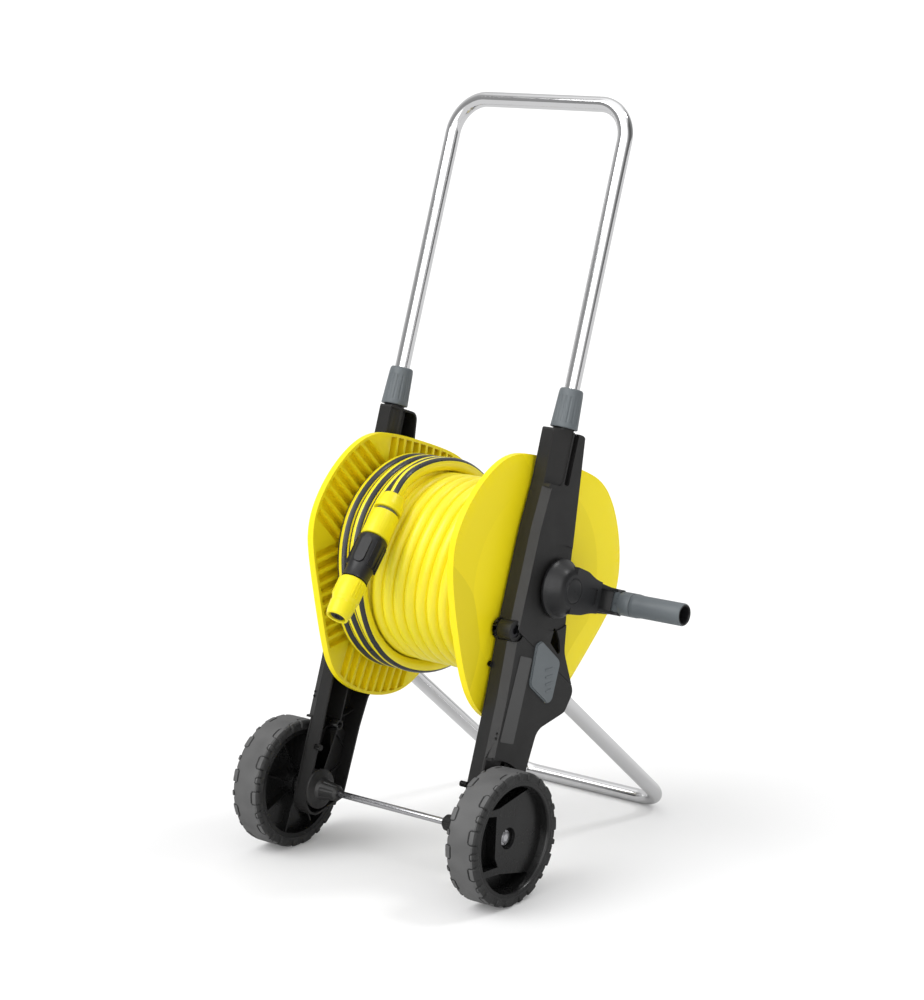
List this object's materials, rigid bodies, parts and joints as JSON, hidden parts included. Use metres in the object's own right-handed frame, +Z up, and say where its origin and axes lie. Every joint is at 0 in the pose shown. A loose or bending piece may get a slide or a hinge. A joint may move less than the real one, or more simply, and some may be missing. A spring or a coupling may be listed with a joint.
{
  "type": "hose reel cart",
  "caption": "Leaning two-wheeled frame carrying a hand-cranked drum of garden hose, with a sliding tubular handle, a rear stand and a folding crank grip.",
  "frame": {"origin": "on the ground under the middle of the cart, the hose left out", "axes": "+X along the axle towards the crank, +Y towards the stand, +Z up"},
  "size_m": [0.4472, 0.4772, 0.8873],
  "materials": {
    "panel_plastic": "satin moulded",
    "black_plastic": "satin moulded",
    "bolt_steel": "zinc plated",
    "axle_steel": "drawn rod",
    "tyre_rubber": "moulded tread",
    "tube_chrome": "polished",
    "grey_plastic": "satin moulded",
    "drum_plastic": "satin moulded",
    "hose_yellow": "smooth, two dark stripes",
    "seal_rubber": "moulded"
  },
  "bodies": {
    "frame": {"lower_panel_right": "panel_plastic", "upper_panel_right": "panel_plastic", "axle_bush_right": "panel_plastic", "axle_clip_right": "bolt_steel", "collet_right": "black_plastic", "bearing_ring_right": "grey_plastic", "lower_panel_left": "panel_plastic", "upper_panel_left": "panel_plastic", "axle_bush_left": "panel_plastic", "axle_clip_left": "bolt_steel", "collet_left": "black_plastic", "bearing_ring_left": "grey_plastic", "panel_bolts": "bolt_steel", "label_plate": "panel_plastic", "axle": "axle_steel", "stand_tube": "tube_chrome", "stand_screws": "bolt_steel", "water_seal": "seal_rubber", "inlet_elbow": "panel_plastic", "inlet_nipple": "grey_plastic"},
    "handle": {"handle_tube": "tube_chrome", "handle_plugs": "grey_plastic"},
    "collar_right": {"clamp_collar_right": "grey_plastic"},
    "collar_left": {"clamp_collar_left": "grey_plastic"},
    "drum": {"flange_right": "drum_plastic", "flange_left": "drum_plastic", "drum_core": "drum_plastic", "drum_screws": "bolt_steel", "water_elbow": "black_plastic", "hose_winding": "hose_yellow", "hose_tail": "hose_yellow", "hose_nut": "drum_plastic", "hose_connector": "grey_plastic", "nozzle_body": "black_plastic", "crank_arm": "black_plastic", "crank_screw": "bolt_steel", "crank_cover": "black_plastic", "grip_pin": "bolt_steel"},
    "sleeve": {"connector_sleeve": "drum_plastic"},
    "tip": {"nozzle_tip": "drum_plastic"},
    "knuckle": {"grip_knuckle": "grey_plastic", "grip_screw": "bolt_steel"},
    "grip": {"crank_grip": "grey_plastic"},
    "wheel_right": {"wheel_rim_right": "panel_plastic", "tyre_right": "tyre_rubber"},
    "wheel_left": {"wheel_rim_left": "panel_plastic", "tyre_left": "tyre_rubber"},
    "latch_right": {"stand_latch_right": "grey_plastic"},
    "latch_left": {"stand_latch_left": "grey_plastic"}
  },
  "joints": [
    {"name": "handle_slide", "type": "slide", "parent": "frame", "child": "handle", "axis": [0, 0.3322, 0.9432], "range_m": [-0.24, 0]},
    {"name": "collar_turn_right", "type": "hinge", "parent": "frame", "child": "collar_right", "pos_m": [0.0879, 0.00761, 0.53968], "axis": [0, 0.3322, 0.9432], "range_deg": [0, 90]},
    {"name": "collar_turn_left", "type": "hinge", "parent": "frame", "child": "collar_left", "pos_m": [-0.1667, 0.00761, 0.53968], "axis": [0, 0.3322, 0.9432], "range_deg": [0, 90]},
    {"name": "drum_turn", "type": "hinge", "parent": "frame", "child": "drum", "pos_m": [-0.0394, -0.02681, 0.33658], "axis": [1, 0, 0], "continuous": true},
    {"name": "sleeve_pull", "type": "slide", "parent": "drum", "child": "sleeve", "axis": [-0.0725, 0.6941, 0.7162], "range_m": [0, 0.0025], "stiffness_N_per_m": 400},
    {"name": "tip_twist", "type": "hinge", "parent": "drum", "child": "tip", "pos_m": [-0.06028, -0.19459, 0.35593], "axis": [0.0725, -0.6941, -0.7162], "range_deg": [0, 120]},
    {"name": "grip_fold", "type": "hinge", "parent": "drum", "child": "knuckle", "pos_m": [0.1306, 0.05242, 0.30868], "axis": [0, -0.3322, -0.9432], "range_deg": [0, 52]},
    {"name": "grip_turn", "type": "hinge", "parent": "knuckle", "child": "grip", "pos_m": [0.1536, 0.05242, 0.30868], "axis": [1, 0, 0], "continuous": true},
    {"name": "wheel_turn_right", "type": "hinge", "parent": "frame", "child": "wheel_right", "pos_m": [0.1146, -0.15875, 0.0775], "axis": [1, 0, 0], "continuous": true},
    {"name": "wheel_turn_left", "type": "hinge", "parent": "frame", "child": "wheel_left", "pos_m": [-0.1934, -0.15875, 0.0775], "axis": [1, 0, 0], "continuous": true},
    {"name": "latch_push_right", "type": "slide", "parent": "frame", "child": "latch_right", "axis": [-1, 0, 0], "range_m": [0, 0.0015], "stiffness_N_per_m": 2000},
    {"name": "latch_push_left", "type": "slide", "parent": "frame", "child": "latch_left", "axis": [1, 0, 0], "range_m": [0, 0.0015], "stiffness_N_per_m": 2000}
  ]
}
